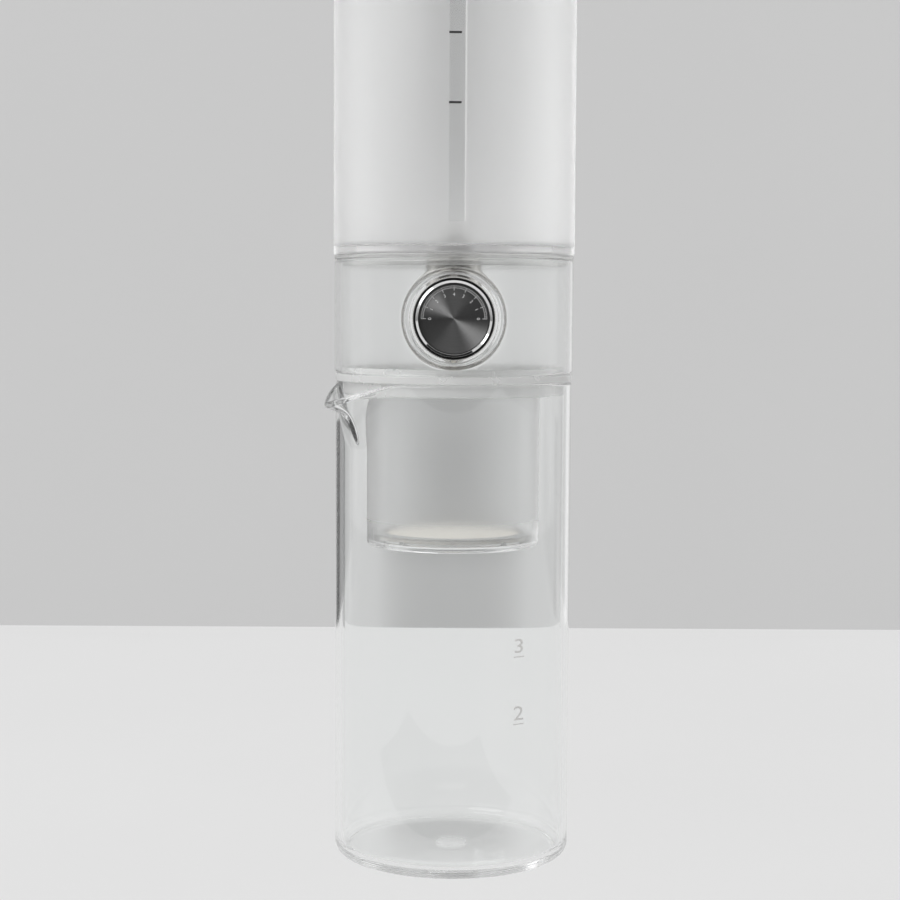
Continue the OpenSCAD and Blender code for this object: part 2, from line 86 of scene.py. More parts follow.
def weld(name, grids, *materials):
    """One closed mesh from grids of points in millimetres, [row, column, xyz]. Each grid is
    (points, wraps): quads join neighbouring rows and columns, and the last column to the first if it
    wraps. Points that coincide become one."""
    points, quads, start = [], [], 0
    for grid, wraps in grids:
        rows, cols = grid.shape[:2]
        index = start + np.arange(rows * cols).reshape(rows, cols)
        if wraps:
            index = np.concatenate([index, index[:, :1]], 1)
        corners = [index[:-1, :-1], index[:-1, 1:], index[1:, 1:], index[1:, :-1]]
        quads.append(np.stack(corners, -1).reshape(-1, 4))
        points.append(grid.reshape(-1, 3))
        start += rows * cols
    points, quads = np.concatenate(points) / 1000, np.concatenate(quads)
    mesh = bpy.data.meshes.new(name)
    mesh.vertices.add(len(points))
    mesh.vertices.foreach_set("co", points.astype(np.float32).ravel())
    mesh.loops.add(quads.size)
    mesh.loops.foreach_set("vertex_index", quads.astype(np.int32).ravel())
    mesh.polygons.add(len(quads))
    mesh.polygons.foreach_set("loop_start", np.arange(0, quads.size, 4, dtype=np.int32))
    mesh.polygons.foreach_set("loop_total", np.full(len(quads), 4, np.int32))
    mesh.update()
    mesh.validate()
    close_up(mesh, 1e-6)
    mesh.polygons.foreach_set("use_smooth", np.full(len(mesh.polygons), True))
    for material in materials:
        mesh.materials.append(material)
    return put(name, mesh)


def finish_of(name, colour, roughness, **sockets):
    """A Principled material with those values on its sockets; returns it, its nodes and its shader."""
    material = bpy.data.materials.new(name)
    material.use_nodes = True
    nodes = material.node_tree.nodes
    shader = nodes["Principled BSDF"]
    shader.inputs["Base Color"].default_value = (*colour, 1)
    shader.inputs["Roughness"].default_value = roughness
    for socket, value in sockets.items():
        shader.inputs[socket.replace("_", " ")].default_value = value
    return material, nodes, shader


def link(output, socket):
    """Links a node's output to another node's socket."""
    output.id_data.links.new(output, socket)


def grain(nodes, stretch, scale, detail=3.0, rough=0.5):
    """Noise in object coordinates, stretched by a Mapping node; returns its factor."""
    place = nodes.new("ShaderNodeTexCoord")
    mapping = nodes.new("ShaderNodeMapping")
    mapping.inputs["Scale"].default_value = stretch
    noise = nodes.new("ShaderNodeTexNoise")
    noise.inputs["Scale"].default_value = scale
    noise.inputs["Detail"].default_value = detail
    noise.inputs["Roughness"].default_value = rough
    link(place.outputs["Object"], mapping.inputs["Vector"])
    link(mapping.outputs["Vector"], noise.inputs["Vector"])
    return noise.outputs["Fac"]


def between(factor, low, high):
    """The factor, from 0 to 1, mapped to the range low to high."""
    span = factor.id_data.nodes.new("ShaderNodeMapRange")
    span.inputs["To Min"].default_value = low
    span.inputs["To Max"].default_value = high
    link(factor, span.inputs["Value"])
    return span.outputs["Result"]


def tint(factor, low, high):
    """A colour between two colours, by the factor."""
    ramp = factor.id_data.nodes.new("ShaderNodeValToRGB")
    ramp.color_ramp.elements[0].color = (*low, 1)
    ramp.color_ramp.elements[1].color = (*high, 1)
    link(factor, ramp.inputs["Fac"])
    return ramp.outputs["Color"]


def bump(shader, height, strength, depth_mm):
    """A Bump node on the shader's normal, for relief of that depth in millimetres."""
    relief = shader.id_data.nodes.new("ShaderNodeBump")
    relief.inputs["Strength"].default_value = strength
    relief.inputs["Distance"].default_value = depth_mm / 1000
    link(height, relief.inputs["Height"])
    link(relief.outputs["Normal"], shader.inputs["Normal"])


def surface(shader, colour, gloss, relief):
    """Feeds the shader's colour and roughness, each (factor, low, high), and its relief (height, strength,
    depth in millimetres)."""
    link(tint(*colour), shader.inputs["Base Color"])
    link(between(*gloss), shader.inputs["Roughness"])
    bump(shader, *relief)


def clear_glass(name, drawn, soft=0.0, through=1.0):
    """Clear borosilicate: drawn lengthwise, so its faint waviness is stretched along Z by drawn. A soft
    glass is a little cloudy, and one that lets less than all of the light through scatters the rest white:
    at the carafe's lens that white is a painted highlight."""
    material, nodes, shader = finish_of(
        name, (0.985, 0.99, 0.988), 0.0, Transmission_Weight=through, IOR=GLASS_IOR)
    wave = grain(nodes, (1, 1, 1 / drawn), 55, detail=1.5)
    surface(shader, (wave, (0.965, 0.975, 0.972), (0.99, 0.993, 0.992)),
            (wave, soft, soft + 0.03), (wave, 0.25, 0.12))
    return material


def arc(r, z, radius, start, end, steps=8):
    """Points (r, z) of an arc round a centre, from one angle in degrees to another."""
    t = np.radians(np.linspace(start, end, steps))
    return np.stack([r + radius * np.cos(t), z + radius * np.sin(t)], -1)


def pull(angle, half):
    """(1 - |angle| / half) to the power PINCH inside the half width, with the crease slightly rounded."""
    off = np.sqrt(angle ** 2 + CREASE ** 2) - CREASE
    return np.clip(1 - off / half, 0, 1) ** PINCH


def swell(angle, v):
    """Share of the reach at a share v of the spout's height: 0.55 v^1.4 + 0.45 v^9, times the pull."""
    return (0.55 * v ** 1.4 + 0.45 * v ** 9) * pull(angle, SPOUT_HALF * (0.3 + 0.7 * v))


def blown_glass():
    """Columns round the axis, each a profile (r, z) from the base's centre up the outer face, over the
    rounded rim, down the inner face, at a wall's thickness square to the lean, and in to the lens."""
    angle = np.concatenate([
        np.linspace(-SPOUT_HALF, SPOUT_HALF, 128, endpoint=False),
        np.linspace(SPOUT_HALF, 360 - SPOUT_HALF, 208, endpoint=False)])
    signed = (angle + 180) % 360 - 180
    ones = np.ones_like(angle)
    half = CARAFE_WALL / 2
    steep = (swell(signed, 1.0) - swell(signed, 0.99)) / 0.01
    lean = np.arctan(SPOUT_REACH * steep / (SPOUT_DEPTH - CARAFE_WALL))
    end = CARAFE_H - half * (1 + np.sin(lean)) - SPOUT_DIP * pull(signed, SPOUT_HALF)

    def wall_r(z):
        v = np.clip((z - SPOUT_FOOT) / (end - SPOUT_FOOT), 0, 1)
        return CARAFE_R + SPOUT_REACH * swell(signed[None], v)

    plain_z = SPOUT_FOOT - CARAFE_WALL
    z = end - (end - plain_z) * (1 - np.linspace(0, 1, 44)[:, None]) ** 1.6
    r = wall_r(z)
    slope = np.arctan((wall_r(z) - wall_r(z - 0.1)) / 0.1)
    outer = np.stack([r, z], -1)
    inner = np.stack([r - CARAFE_WALL * np.cos(slope), z + CARAFE_WALL * np.sin(slope)], -1)
    turn = np.radians(np.linspace(14, 166, 11))[:, None] - slope[-1]
    rim = (outer[-1] + inner[-1]) / 2 + half * np.stack([np.cos(turn), np.sin(turn)], -1)
    mouth = CARAFE_R - CARAFE_WALL
    foot = np.concatenate([
        [[0, 0], [20, 0], [CARAFE_R - BASE_ROUND - BESIDE, 0]],
        arc(CARAFE_R - BASE_ROUND, BASE_ROUND, BASE_ROUND, -90, 0, 12),
        [[CARAFE_R, level] for level in (BASE_ROUND + BESIDE, *WALL_LEVELS)]])
    share = np.linspace(1, 0, 12)
    lens = np.stack([LENS_R * share, CARAFE_FLOOR + LENS_RISE * (1 - share ** 2) ** 2], -1)
    floor = np.concatenate([
        [[mouth, level] for level in (*WALL_LEVELS[::-1], CARAFE_FLOOR + FLOOR_ROUND + BESIDE)],
        arc(mouth - FLOOR_ROUND, CARAFE_FLOOR + FLOOR_ROUND, FLOOR_ROUND, 0, -90, 12),
        [[r, CARAFE_FLOOR] for r in (mouth - FLOOR_ROUND - BESIDE, 20, 9)], lens])
    profile = np.concatenate([
        foot[:, None] * ones[:, None], outer, rim, inner[::-1], floor[:, None] * ones[:, None]])
    t = np.radians(angle + 270 - SPOUT_TURN)
    return np.stack([profile[..., 0] * np.cos(t), profile[..., 0] * np.sin(t), profile[..., 1]], -1)


carafe = weld("carafe_blown", [(blown_glass(), True)],
              clear_glass("carafe_glass", 6), clear_glass("painted_highlight_lens_glass", 1, 0.3, 0.45))
# The lens takes the milky glass, which scatters white there: a painted highlight.
middles = values(carafe.data.polygons, "center") * 1000
near_floor = abs(middles[:, 2] - CARAFE_FLOOR - LENS_RISE / 2) < 0.5
painted_highlight_lens = (np.hypot(middles[:, 0], middles[:, 1]) < LENS_R) & near_floor
carafe.data.polygons.foreach_set("material_index", painted_highlight_lens.astype(np.int32))
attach(carafe, "carafe")
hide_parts("carafe")
carafe.visible_diffuse = carafe.visible_shadow = False  # so that light reaches what the glass covers


# ---- Cup marks on the carafe ----
# Small grey figures and a short tick under each, screen printed on the outside of the carafe at the front
# right and fired on. They stand a few hundredths of a millimetre off the glass.

MARK_TURN, MARK_SIZE, MARK_WIDE, MARK_LEVELS = 33.0, 7.0, 1.35, (("2", 53.7), ("3", 77.2))
INK_LIFT, INK_THICK = 0.015, 0.03


def lettering(text, size, thick):
    """The text's outline as a closed mesh, points in millimetres with the letters' middle at 0, 0."""
    curve = bpy.data.curves.new("lettering", "FONT")
    curve.body, curve.size, curve.extrude = text, size, thick / 2
    curve.align_x, curve.align_y = "CENTER", "CENTER"
    curve.resolution_u = 6
    source = put("lettering", curve)
    bpy.context.view_layer.update()
    mesh = bpy.data.meshes.new_from_object(source.evaluated_get(bpy.context.evaluated_depsgraph_get()))
    points = values(mesh.vertices, "co")
    faces = [tuple(p.vertices) for p in mesh.polygons]
    bpy.data.objects.remove(source)
    bpy.data.curves.remove(curve)
    bpy.data.meshes.remove(mesh)
    return points, faces


def ribbon(rings):
    """Points and faces of a closed ribbon through rings of four points."""
    faces = [(4 * i + j, 4 * i + (j + 1) % 4, 4 * i + 4 + (j + 1) % 4, 4 * i + 4 + j)
             for i in range(len(rings) - 1) for j in range(4)]
    last = 4 * (len(rings) - 1)
    return np.reshape(rings, (-1, 3)), faces + [(3, 2, 1, 0), (last, last + 1, last + 2, last + 3)]


def bar(width, height, thick, steps=6):
    """A flat bar centred on 0, 0, cut across its width so that it can follow a round wall."""
    y, z = height / 2, thick / 2
    return ribbon([[(x, -y, -z), (x, y, -z), (x, y, z), (x, -y, z)]
                   for x in np.linspace(-width / 2, width / 2, steps)])


def printed(name, shapes, place, material):
    """One mesh of several printed shapes. Each is (points, faces, where), and place puts its points."""
    points, faces, start = [], [], 0
    for shape, polygons, where in shapes:
        points.append(place(shape, *where))
        faces += [tuple(start + i for i in polygon) for polygon in polygons]
        start += len(shape)
    mesh = bpy.data.meshes.new(name)
    mesh.from_pydata((np.concatenate(points) / 1000).tolist(), [], faces)
    close_up(mesh, 1e-7)
    mesh.materials.append(material)
    return put(name, mesh)


def ink(name, colour, patchy):
    """Fired ink, a little uneven in tone where the screen left it thin."""
    material, nodes, shader = finish_of(name, colour, 0.55)
    wear = grain(nodes, (1, 1, 1), 900, detail=4)
    surface(shader, (wear, colour, tuple(c + patchy for c in colour)),
            (wear, 0.45, 0.65), (wear, 0.2, 0.02))
    return material


def on_wall(radius):
    """Puts points (across, up, out) on a round wall of that radius, seen from outside: the turn from the
    front, in degrees, and the height come with each shape."""
    def place(points, turn, height):
        a = math.radians(turn) + points[:, 0] / radius
        r = radius + INK_LIFT + points[:, 2] + INK_THICK / 2
        return np.stack([r * np.sin(a), -r * np.cos(a), height + points[:, 1]], -1)
    return place


carafe_shapes = []
for figure, level in MARK_LEVELS:
    outline, faces = lettering(figure, MARK_SIZE, INK_THICK)
    carafe_shapes.append((outline * [MARK_WIDE, 1, 1], faces, (MARK_TURN, level + 3.5)))
    carafe_shapes.append((*bar(4.4, 0.35, INK_THICK), (MARK_TURN, level)))
carafe_marks = printed("carafe_marks", carafe_shapes, on_wall(CARAFE_R),
                       ink("grey_ink", (0.64, 0.635, 0.62), 0.1))
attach(carafe_marks, "carafe")


# ---- Coffee chamber ----
# A tube of the same glass with a rolled flange that it hangs by and a ledge turned in at its foot for the
# filter. Its wall is sand blasted to a fine frost from the seal down; the flange is left clear.

CHAMBER_R, CHAMBER_IN, CHAMBER_Z, CHAMBER_TOP = 31.0, 28.8, 112.15, 173.65
FLANGE_R, FLANGE_T, LEDGE_IN, LEDGE_T = 35.0, 1.97, 25.5, 1.77
MILK = 0.06  # share of the light that the frost scatters back as white
LINE_WIDE, LINE_SOFT, LINE_MILK = 0.6, 0.15, 0.28  # the white line beside a clear window


def around(profile, turn):
    """The profile's points (r, z) at each turn about Z, in radians."""
    r, z = profile[:, :1], profile[:, 1:]
    return np.stack([r * np.cos(turn), r * np.sin(turn), z + 0 * turn], -1)


def turned(profile, segments=224, wraps=True):
    """A closed ring or a solid: the profile's points (r, z) turned about Z. A profile that wraps is joined
    end to start; one that doesn't starts and ends on the axis."""
    profile = np.asarray(profile, float)
    if wraps:
        profile = np.concatenate([profile, profile[:1]])
    return around(profile, np.linspace(0, 2 * np.pi, segments, endpoint=False))


def eased(corners, steps=5):
    """A closed profile through corners (r, z, rounding). Each corner becomes an arc tangent to its two
    sides, with a point just outside each end, so that the flats beside it shade flat."""
    corners = np.asarray(corners, float)
    at, rounding = corners[:, :2], corners[:, 2]
    ahead = np.roll(at, -1, 0) - at
    length = np.hypot(ahead[:, 0], ahead[:, 1])
    ahead /= length[:, None]
    behind = -np.roll(ahead, 1, 0)
    half = np.arccos(np.clip((ahead * behind).sum(1), -1, 1)) / 2
    reach = rounding / np.tan(half)
    flat = length - reach - np.roll(reach, -1)
    points = []
    for i, here in enumerate(at):
        if rounding[i] <= 0:
            points.append(here[None])
            continue
        middle = ahead[i] + behind[i]
        centre = here + middle / np.hypot(*middle) * rounding[i] / math.sin(half[i])
        first, last = here + behind[i] * reach[i] - centre, here + ahead[i] * reach[i] - centre
        sweep = math.pi - 2 * half[i]
        t = np.linspace(0, 1, steps)[:, None]
        curve = (np.sin((1 - t) * sweep) * first + np.sin(t * sweep) * last) / math.sin(sweep)
        before = here + behind[i] * (reach[i] + min(reach[i], flat[i - 1]) / 4)
        after = here + ahead[i] * (reach[i] + min(reach[i], flat[i]) / 4)
        points.append(np.concatenate([before[None], centre + curve, after[None]]))
    return np.concatenate(points)


def reckoner(nodes):
    """A function that adds a Math node on numbers and other nodes' outputs, and returns its result."""
    def reckon(operation, *terms):
        node = nodes.new("ShaderNodeMath")
        node.operation = operation
        for socket, value in zip(node.inputs, terms):
            if isinstance(value, float):
                socket.default_value = value
            else:
                link(value, socket)
        return node.outputs["Value"]
    return reckon


def step_from(value, start, end, low=0.0, high=1.0, smooth=True):
    """Low up to start and high from end on, with a smooth or a straight step between them."""
    step = value.id_data.nodes.new("ShaderNodeMapRange")
    if smooth:
        step.interpolation_type = "SMOOTHSTEP"
    for socket, number in (("From Min", start), ("From Max", end), ("To Min", low), ("To Max", high)):
        step.inputs[socket].default_value = number
    link(value, step.inputs["Value"])
    return step.outputs["Result"]


def position(nodes, space="Object"):
    """X, Y and Z in a space of the Texture Coordinate node."""
    place = nodes.new("ShaderNodeTexCoord")
    split = nodes.new("ShaderNodeSeparateXYZ")
    link(place.outputs[space], split.inputs["Vector"])
    return split.outputs


def frosted_glass(name, outer_r, zone, frost, plain, tone, foot, foot_milk, window=None):
    """Glass that is frosted outside and polished inside, told apart by the distance from the axis. The
    frost lies in a zone (low z, high z, soft width), and plain is the roughness elsewhere. Tone is how
    light the frost is. Below the frost the glass is tinted to foot, a painted shade where foot is darker
    than clear glass, and foot_milk is how milky it is there. A window (left x, right x, lower z) on the
    front stays clear, with a white line along its right edge."""
    material, nodes, shader = finish_of(
        name, (0.93, 0.935, 0.94), frost, Transmission_Weight=1.0, IOR=GLASS_IOR)
    x, y, z = position(nodes)
    reckon = reckoner(nodes)

    def edge(value, at, width):
        """0 below a place and 1 above it, in millimetres, over a soft width."""
        return step_from(value, (at - width / 2) / 1000, (at + width / 2) / 1000)

    def strip(start, end):
        """1 on the front between two places across, above the window's lower end."""
        beyond = edge(x, end, LINE_SOFT)
        band = reckon("MULTIPLY", edge(x, start, LINE_SOFT), reckon("SUBTRACT", 1.0, beyond))
        band = reckon("MULTIPLY", band, edge(z, lower, 1.2))
        return reckon("MULTIPLY", band, reckon("LESS_THAN", y, 0.0))

    radius = reckon("SQRT", reckon("ADD", reckon("MULTIPLY", x, x), reckon("MULTIPLY", y, y)), 0.0)
    low, high, soft = zone
    mask = reckon("MULTIPLY", edge(radius, outer_r - 0.6, 0.3), edge(z, low, soft))
    mask = reckon("MULTIPLY", mask, reckon("SUBTRACT", 1.0, edge(z, high, 0.8)))
    if window:
        left, right, lower = window
        mask = reckon("MULTIPLY", mask, reckon("SUBTRACT", 1.0, strip(left, right)))
    under = reckon("MULTIPLY", reckon("SUBTRACT", 1.0, edge(z, low, soft)), foot_milk)
    milk = reckon("MULTIPLY_ADD", mask, MILK, under)
    if window:
        milk = reckon("MULTIPLY_ADD", strip(right, right + LINE_WIDE), LINE_MILK, milk)
    link(reckon("SUBTRACT", 1.0, milk), shader.inputs["Transmission Weight"])
    fine = grain(nodes, (1, 1, 1), 2600, detail=2)
    cloud = grain(nodes, (1, 1, 0.5), 28, detail=3)
    rough = reckon("MULTIPLY", mask, between(cloud, frost * 0.92, frost * 1.08))
    link(reckon("MAXIMUM", rough, plain), shader.inputs["Roughness"])
    whiten = nodes.new("ShaderNodeMix")
    whiten.data_type = "RGBA"
    link(mask, whiten.inputs["Factor"])
    # Below the frost the colour falls to foot: painted shade where foot is darker than clear glass.
    clear_with_painted_foot_shade = tint(edge(z, low, soft), (foot,) * 3, (0.985, 0.99, 0.988))
    link(clear_with_painted_foot_shade, whiten.inputs["A"])
    link(tint(cloud, (tone - 0.02,) * 3, (tone + 0.02,) * 3), whiten.inputs["B"])
    link(whiten.outputs["Result"], shader.inputs["Base Color"])
    bump(shader, reckon("MULTIPLY", mask, fine), 0.3, 0.05)
    return material


corner = (CHAMBER_R - CHAMBER_IN) * 0.7
chamber = weld("coffee_chamber_frosted", [(turned(eased([
    (LEDGE_IN, CHAMBER_Z, 0.6), (CHAMBER_R, CHAMBER_Z, corner),
    (CHAMBER_R, CHAMBER_TOP - FLANGE_T, 0.5), (FLANGE_R, CHAMBER_TOP - FLANGE_T, 0.95),
    (FLANGE_R, CHAMBER_TOP, 0.95), (CHAMBER_IN, CHAMBER_TOP, 0.8),
    (CHAMBER_IN, CHAMBER_Z + LEDGE_T, 0.5), (LEDGE_IN, CHAMBER_Z + LEDGE_T, 0.6)], 7)), True)],
    frosted_glass("chamber_frost", CHAMBER_R, (118.0, 166.0, 12.0), 0.3, 0.01, 0.95, 0.985, 0.0))
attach(chamber, "brew_chamber")
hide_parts("coffee_chamber")
chamber.visible_diffuse = chamber.visible_shadow = False


# ---- Chamber seal ----
# A ring cast in clear silicone. Its plug fits the carafe's mouth, its flange takes the chamber and carries
# the collar, and its lip centres the collar.

SEAL = [(31.05, 166.2, 0.3), (39.6, 166.2, 0.8), (39.6, 171.0, 0.15), (42.3, 171.0, 0.3), (42.3, 173.8, 0.5),
        (40.0, 173.8, 0.15), (40.0, 176.0, 0.5), (37.6, 176.0, 0.5), (37.6, 173.8, 0.3), (35.1, 173.8, 0.3),
        (35.1, 171.65, 0.3), (31.05, 171.65, 0.3)]


def silicone(name, colour, through, soft):
    """Silicone rubber that lets a share of the light through, soft in gloss, with a faint cloudiness."""
    material, nodes, shader = finish_of(name, colour, soft, Transmission_Weight=through, IOR=1.41)
    cloud = grain(nodes, (1, 1, 1), 90, detail=4)
    surface(shader, (cloud, tuple(c * 0.94 for c in colour), colour),
            (cloud, soft * 0.8, soft * 1.3), (grain(nodes, (1, 1, 1), 1500, detail=2), 0.15, 0.03))
    return material


seal = weld("chamber_seal_cast", [(turned(eased(SEAL, 4)), True)],
            silicone("milky_silicone", (0.955, 0.96, 0.955), 0.4, 0.25))
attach(seal, "brew_chamber")
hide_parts("chamber_seal")


# ---- Filter ----
# A pressed disc of cream porous ceramic, held at its edge in a clear silicone ring. Round the ring's
# underside are ten notches that let the last of the water run off.

FILTER_Z, FILTER_OUT, WINDOW_R, DISC_R = 113.95, 28.65, 24.15, 25.9
FILTER_LIP, FILTER_T = 0.8, 1.3
NOTCHES, NOTCH_HALF, NOTCH_FROM = 10, 1.1, 27.2


def porous(name):
    """Pressed ceramic: cream grains with darker pores, dull."""
    material, nodes, shader = finish_of(name, (0.88, 0.84, 0.76), 0.85)
    place = nodes.new("ShaderNodeTexCoord")
    pores = nodes.new("ShaderNodeTexVoronoi")
    pores.inputs["Scale"].default_value = 1100
    link(place.outputs["Object"], pores.inputs["Vector"])
    cloud = grain(nodes, (1, 1, 1), 120, detail=5)
    mix = reckoner(nodes)("MULTIPLY_ADD", pores.outputs["Distance"], 0.6, cloud)
    surface(shader, (mix, (0.78, 0.72, 0.62), (0.95, 0.93, 0.87)),
            (cloud, 0.75, 0.95), (pores.outputs["Distance"], 0.6, 0.25))
    return material


disc_z = FILTER_Z + FILTER_LIP
share = np.linspace(0, 1, 14)
disc_face = np.stack([WINDOW_R * share, np.full(14, disc_z + FILTER_T)], -1)
disc_profile = np.concatenate([
    disc_face, [[DISC_R - 0.2, disc_z + FILTER_T], [DISC_R, disc_z + FILTER_T - 0.2], [DISC_R, disc_z + 0.2]],
    [[DISC_R - 0.2, disc_z]], disc_face[::-1] * [1, 0] + [0, disc_z]])
filter_disc = weld("filter_disc_pressed", [(turned(disc_profile, wraps=False), True)],
                   porous("cream_ceramic"))
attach(filter_disc, "filter")
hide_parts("filter_disc")


def notched_ring():
    """The ring's section turned round. Near each notch the underside's height rises by a smooth step of the
    angle from the notch's middle, and of the distance from the axis, up to the lip's height."""
    top = FILTER_Z + 2 * FILTER_LIP + FILTER_T
    section = eased([
        (WINDOW_R, FILTER_Z, 0.2), (NOTCH_FROM, FILTER_Z, 0), (NOTCH_FROM + 0.25, FILTER_Z, 0),
        (FILTER_OUT, FILTER_Z, 0.25), (FILTER_OUT, top, 0.3), (WINDOW_R, top, 0.2),
        (WINDOW_R, top - FILTER_LIP, 0.1), (DISC_R, top - FILTER_LIP, 0.1),
        (DISC_R, FILTER_Z + FILTER_LIP, 0.1), (WINDOW_R, FILTER_Z + FILTER_LIP, 0.1)], 4)
    steps = NOTCHES * 40
    grid = turned(section, steps)
    t = np.linspace(0, NOTCHES, steps, endpoint=False) % 1 - 0.5
    across = np.abs(t) / NOTCHES * 2 * np.pi * FILTER_OUT
    near = np.clip((NOTCH_HALF - across) / 0.25 + 0.5, 0, 1)
    under = (grid[..., 2] < FILTER_Z + 0.3) & (np.hypot(grid[..., 0], grid[..., 1]) > NOTCH_FROM + 0.1)
    grid[..., 2] += under * near * FILTER_LIP * 0.8
    return grid


soft_clear = silicone("soft_clear", (0.97, 0.972, 0.965), 0.85, 0.1)
filter_ring = weld("filter_ring_cast", [(notched_ring(), True)], soft_clear)
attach(filter_ring, "filter")
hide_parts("filter_ring")


# ---- Collar ----
# A short tube of clear glass. The hole for the knob was opened with a flame, and the hot edge ran back into
# a thick smooth ring that stands proud in front.

COLLAR_R, COLLAR_WALL, COLLAR_Z, COLLAR_TOP = 42.7, 2.4, 173.83, 213.97
COLLAR_IN = COLLAR_R - COLLAR_WALL
KNOB_Z, HOLE_R, RING_R, RING_FRONT = 193.4, 14.9, 17.0, 43.8
PATCH_TURN = 38.0  # degrees to each side of the front where the hole's grid ends


def collar_grids():
    """A patch round the hole and a plain tube behind it. The patch runs along rays in the front view, from
    a rectangle to the hole: over the outer skin, up a fillet, round the ring's front, through the hole and
    out over the inner skin. Every point of a skin lies on its cylinder, y = -sqrt(R^2 - x^2)."""
    edge = COLLAR_WALL / 2
    low, high = COLLAR_Z + edge, COLLAR_TOP - edge
    rises, spans = 41, 57
    levels = np.linspace(low, high, rises)
    turns = np.radians(np.linspace(-PATCH_TURN, PATCH_TURN, spans))
    side, flat_run = np.full(rises - 1, turns[-1]), np.ones(spans - 1)
    turn = np.concatenate([side, turns[:0:-1], -side, turns[:-1]])
    level = np.concatenate([levels[:-1], flat_run * high, levels[:0:-1], flat_run * low])
    frame_out = np.stack([COLLAR_R * np.sin(turn), level - KNOB_Z], -1)
    frame_in = np.stack([COLLAR_IN * np.sin(turn), level - KNOB_Z], -1)
    t = np.arctan2(frame_out[:, 1], frame_out[:, 0])
    ray = np.stack([np.cos(t), np.sin(t)], -1)

    def on_skin(flat, radius):
        return np.stack([flat[..., 0], -np.sqrt(radius ** 2 - flat[..., 0] ** 2), flat[..., 1] + KNOB_Z], -1)

    def curve(start, knee, end, steps):
        """Quadratic curve from start to end, tangent to both lines through knee."""
        s = np.linspace(0, 1, steps)[:, None, None]
        return (1 - s) ** 2 * start + 2 * s * (1 - s) * knee + s ** 2 * end

    def ring_point(r, y):
        return np.stack([r * np.cos(t), np.broadcast_to(y, t.shape), r * np.sin(t) + KNOB_Z], -1)

    fillet_r, lip_r, bead_r = RING_R + 1.3, HOLE_R + 0.9, 1.05
    share = np.linspace(0, 1, 15)[:, None, None]
    outer = on_skin(frame_out + share * (ray * fillet_r - frame_out), COLLAR_R)
    fillet = curve(outer[-1], on_skin(ray * RING_R, COLLAR_R), ring_point(RING_R, -RING_FRONT + 0.9), 9)[1:]
    front = RING_R - (RING_R - HOLE_R) / 2
    bend = np.radians(np.linspace(0, 180, 15))[1:]
    bead = np.stack([ring_point(front + bead_r * np.cos(b), -RING_FRONT + bead_r - bead_r * np.sin(b))
                     for b in bend])
    back = on_skin(ray * HOLE_R, COLLAR_IN)[:, 1]
    brink = bead[-1, :, 1]
    bore = np.stack([ring_point(HOLE_R, brink + s * (back - 0.5 - brink)) for s in (0.5, 1)])
    lip = curve(bore[-1], ring_point(HOLE_R, back), on_skin(ray * lip_r, COLLAR_IN), 6)[1:]
    inner = on_skin(ray * lip_r + share[1:] * (frame_in - ray * lip_r), COLLAR_IN)
    patch = np.concatenate([outer, fillet, bead, bore, lip, inner])

    def skins(turn, profile):
        r, z = profile[:, :1], profile[:, 1:]
        return np.stack([r * np.sin(turn), -r * np.cos(turn), z + 0 * turn], -1)

    middle = COLLAR_R - edge
    top = arc(middle, high, edge, 0, 180, 11)
    top[-4:] = [[COLLAR_IN, high + 0.9], [COLLAR_IN, high + 0.6], [COLLAR_IN, high + 0.3], [COLLAR_IN, high]]
    top[4:7, 1] = COLLAR_TOP
    top[4:7, 0] = np.linspace(top[4, 0], COLLAR_IN + 0.4, 3)
    foot = (top * [1, -1] + [0, low + high])[::-1]
    rest = np.radians(np.linspace(PATCH_TURN, 360 - PATCH_TURN, 190))
    loop = np.concatenate([
        np.stack([np.full(rises, COLLAR_R), levels], -1), top[1:-1],
        np.stack([np.full(rises, COLLAR_IN), levels[::-1]], -1), foot[1:-1], [[COLLAR_R, low]]])
    return [(patch, True), (skins(rest, loop), False),
            (skins(turns, top), False), (skins(turns, foot), False)]


collar = weld("collar_flame_opened", collar_grids(), clear_glass("collar_glass", 3, 0.1))
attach(collar, "tank_unit")
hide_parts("collar")
collar.visible_diffuse = collar.visible_shadow = False


# ---- Collar gasket ----
# A thin ring of the same silicone between the collar's top edge and the tank, with a skirt inside the collar.

gasket = weld("collar_gasket_cast", [(turned(eased([
    (38.2, 211.5, 0.3), (40.0, 211.5, 0.4), (40.0, 214.0, 0.1), (42.7, 214.0, 0.3),
    (42.7, 215.4, 0.3), (38.2, 215.4, 0.3)], 4)), True)], soft_clear)
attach(gasket, "tank_unit")
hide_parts("collar_gasket")


# ---- Water tank ----
# A tube with a flat floor, frosted outside from just above the floor to just under the rim. A strip was
# masked off on the front and stays clear, so that the water's level shows beside the printed ticks.

TANK_R, TANK_IN, TANK_Z, TANK_TOP, TANK_FLOOR, SHANK_HOLE = 43.0, 40.6, 215.43, 347.97, 217.97, 6.33
STRIP = (-1.9, 3.35, 226.1)
TICKS, TICK_X = (265.5, 288.6, 311.7, 334.8), 0.05

# Below the frost the floor's glass is tinted to 0.75 and made 0.3 milky: painted shade for the band of the
# floor.
tank = weld("water_tank_frosted", [(turned(eased([
    (SHANK_HOLE, TANK_Z, 0.3), (TANK_R, TANK_Z, 0.9), (TANK_R, TANK_TOP, 1.15), (TANK_IN, TANK_TOP, 1.15),
    (TANK_IN, TANK_FLOOR, 1.8), (SHANK_HOLE, TANK_FLOOR, 0.3)], 9), 288), True)],
    frosted_glass("tank_frost", TANK_R, (218.4, 345.5, 0.6), 0.4, 0.2, 0.95, 0.75, 0.3, STRIP))
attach(tank, "tank_unit")
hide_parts("water_tank")
tank.visible_diffuse = tank.visible_shadow = False

